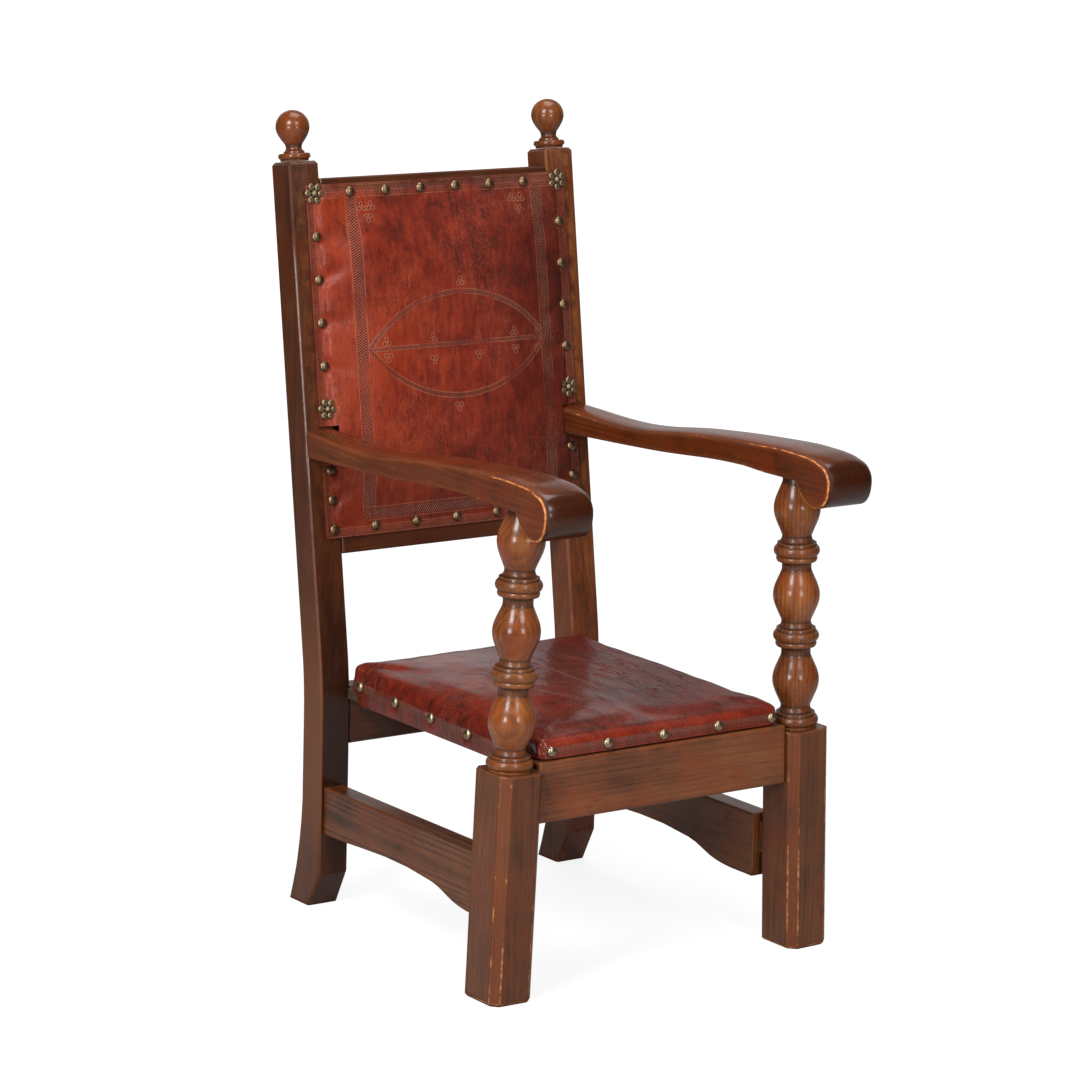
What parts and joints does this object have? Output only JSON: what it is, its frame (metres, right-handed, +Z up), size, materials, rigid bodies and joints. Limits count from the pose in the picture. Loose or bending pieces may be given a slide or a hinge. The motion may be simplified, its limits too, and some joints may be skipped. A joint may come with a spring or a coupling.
{
  "type": "child's armchair",
  "caption": "Small open armchair with a raked back, scrolled arms on turned supports, square chamfered legs, finials, and a nailed tooled-leather seat and back.",
  "frame": {"origin": "on the floor, at the centre of the chair's width and depth", "axes": "+Z up; the chair faces -Y, so +Y points behind it; +X to the right of someone looking at its front"},
  "size_m": [0.4068, 0.5201, 0.8],
  "materials": {
    "oak": "dark stained and waxed, satin, worn lighter on the edges",
    "oak_turned": "stained and polished, satin gloss",
    "pine": "unfinished, hidden under the upholstery",
    "hide": "red-brown, tooled and glazed, creased",
    "lining": "plain dark, matt",
    "jute": "coarse weave, undyed",
    "hair": "curled hair, loose",
    "brass": "aged, dull"
  },
  "bodies": {
    "root": {"arm_left": "oak", "arm_right": "oak", "back_bottom_rail": "oak", "back_hessian": "jute", "back_leather": "hide", "back_outside_cover": "lining", "back_stuffing": "hair", "back_top_rail": "oak", "finial_left": "oak_turned", "finial_right": "oak_turned", "front_post_left": "oak_turned", "front_post_right": "oak_turned", "front_seat_rail": "oak", "rear_post_left": "oak", "rear_post_right": "oak", "rear_seat_rail": "oak", "rosette_lower_left": "brass", "rosette_lower_right": "brass", "rosette_top_left": "brass", "rosette_top_right": "brass", "seat_front_bar": "pine", "seat_leather": "hide", "seat_rear_bar": "pine", "seat_stuffing": "hair", "seat_webbing": "jute", "side_seat_rail_left": "pine", "side_seat_rail_right": "pine", "side_stretcher_left": "oak", "side_stretcher_right": "oak"}
  },
  "joints": []
}
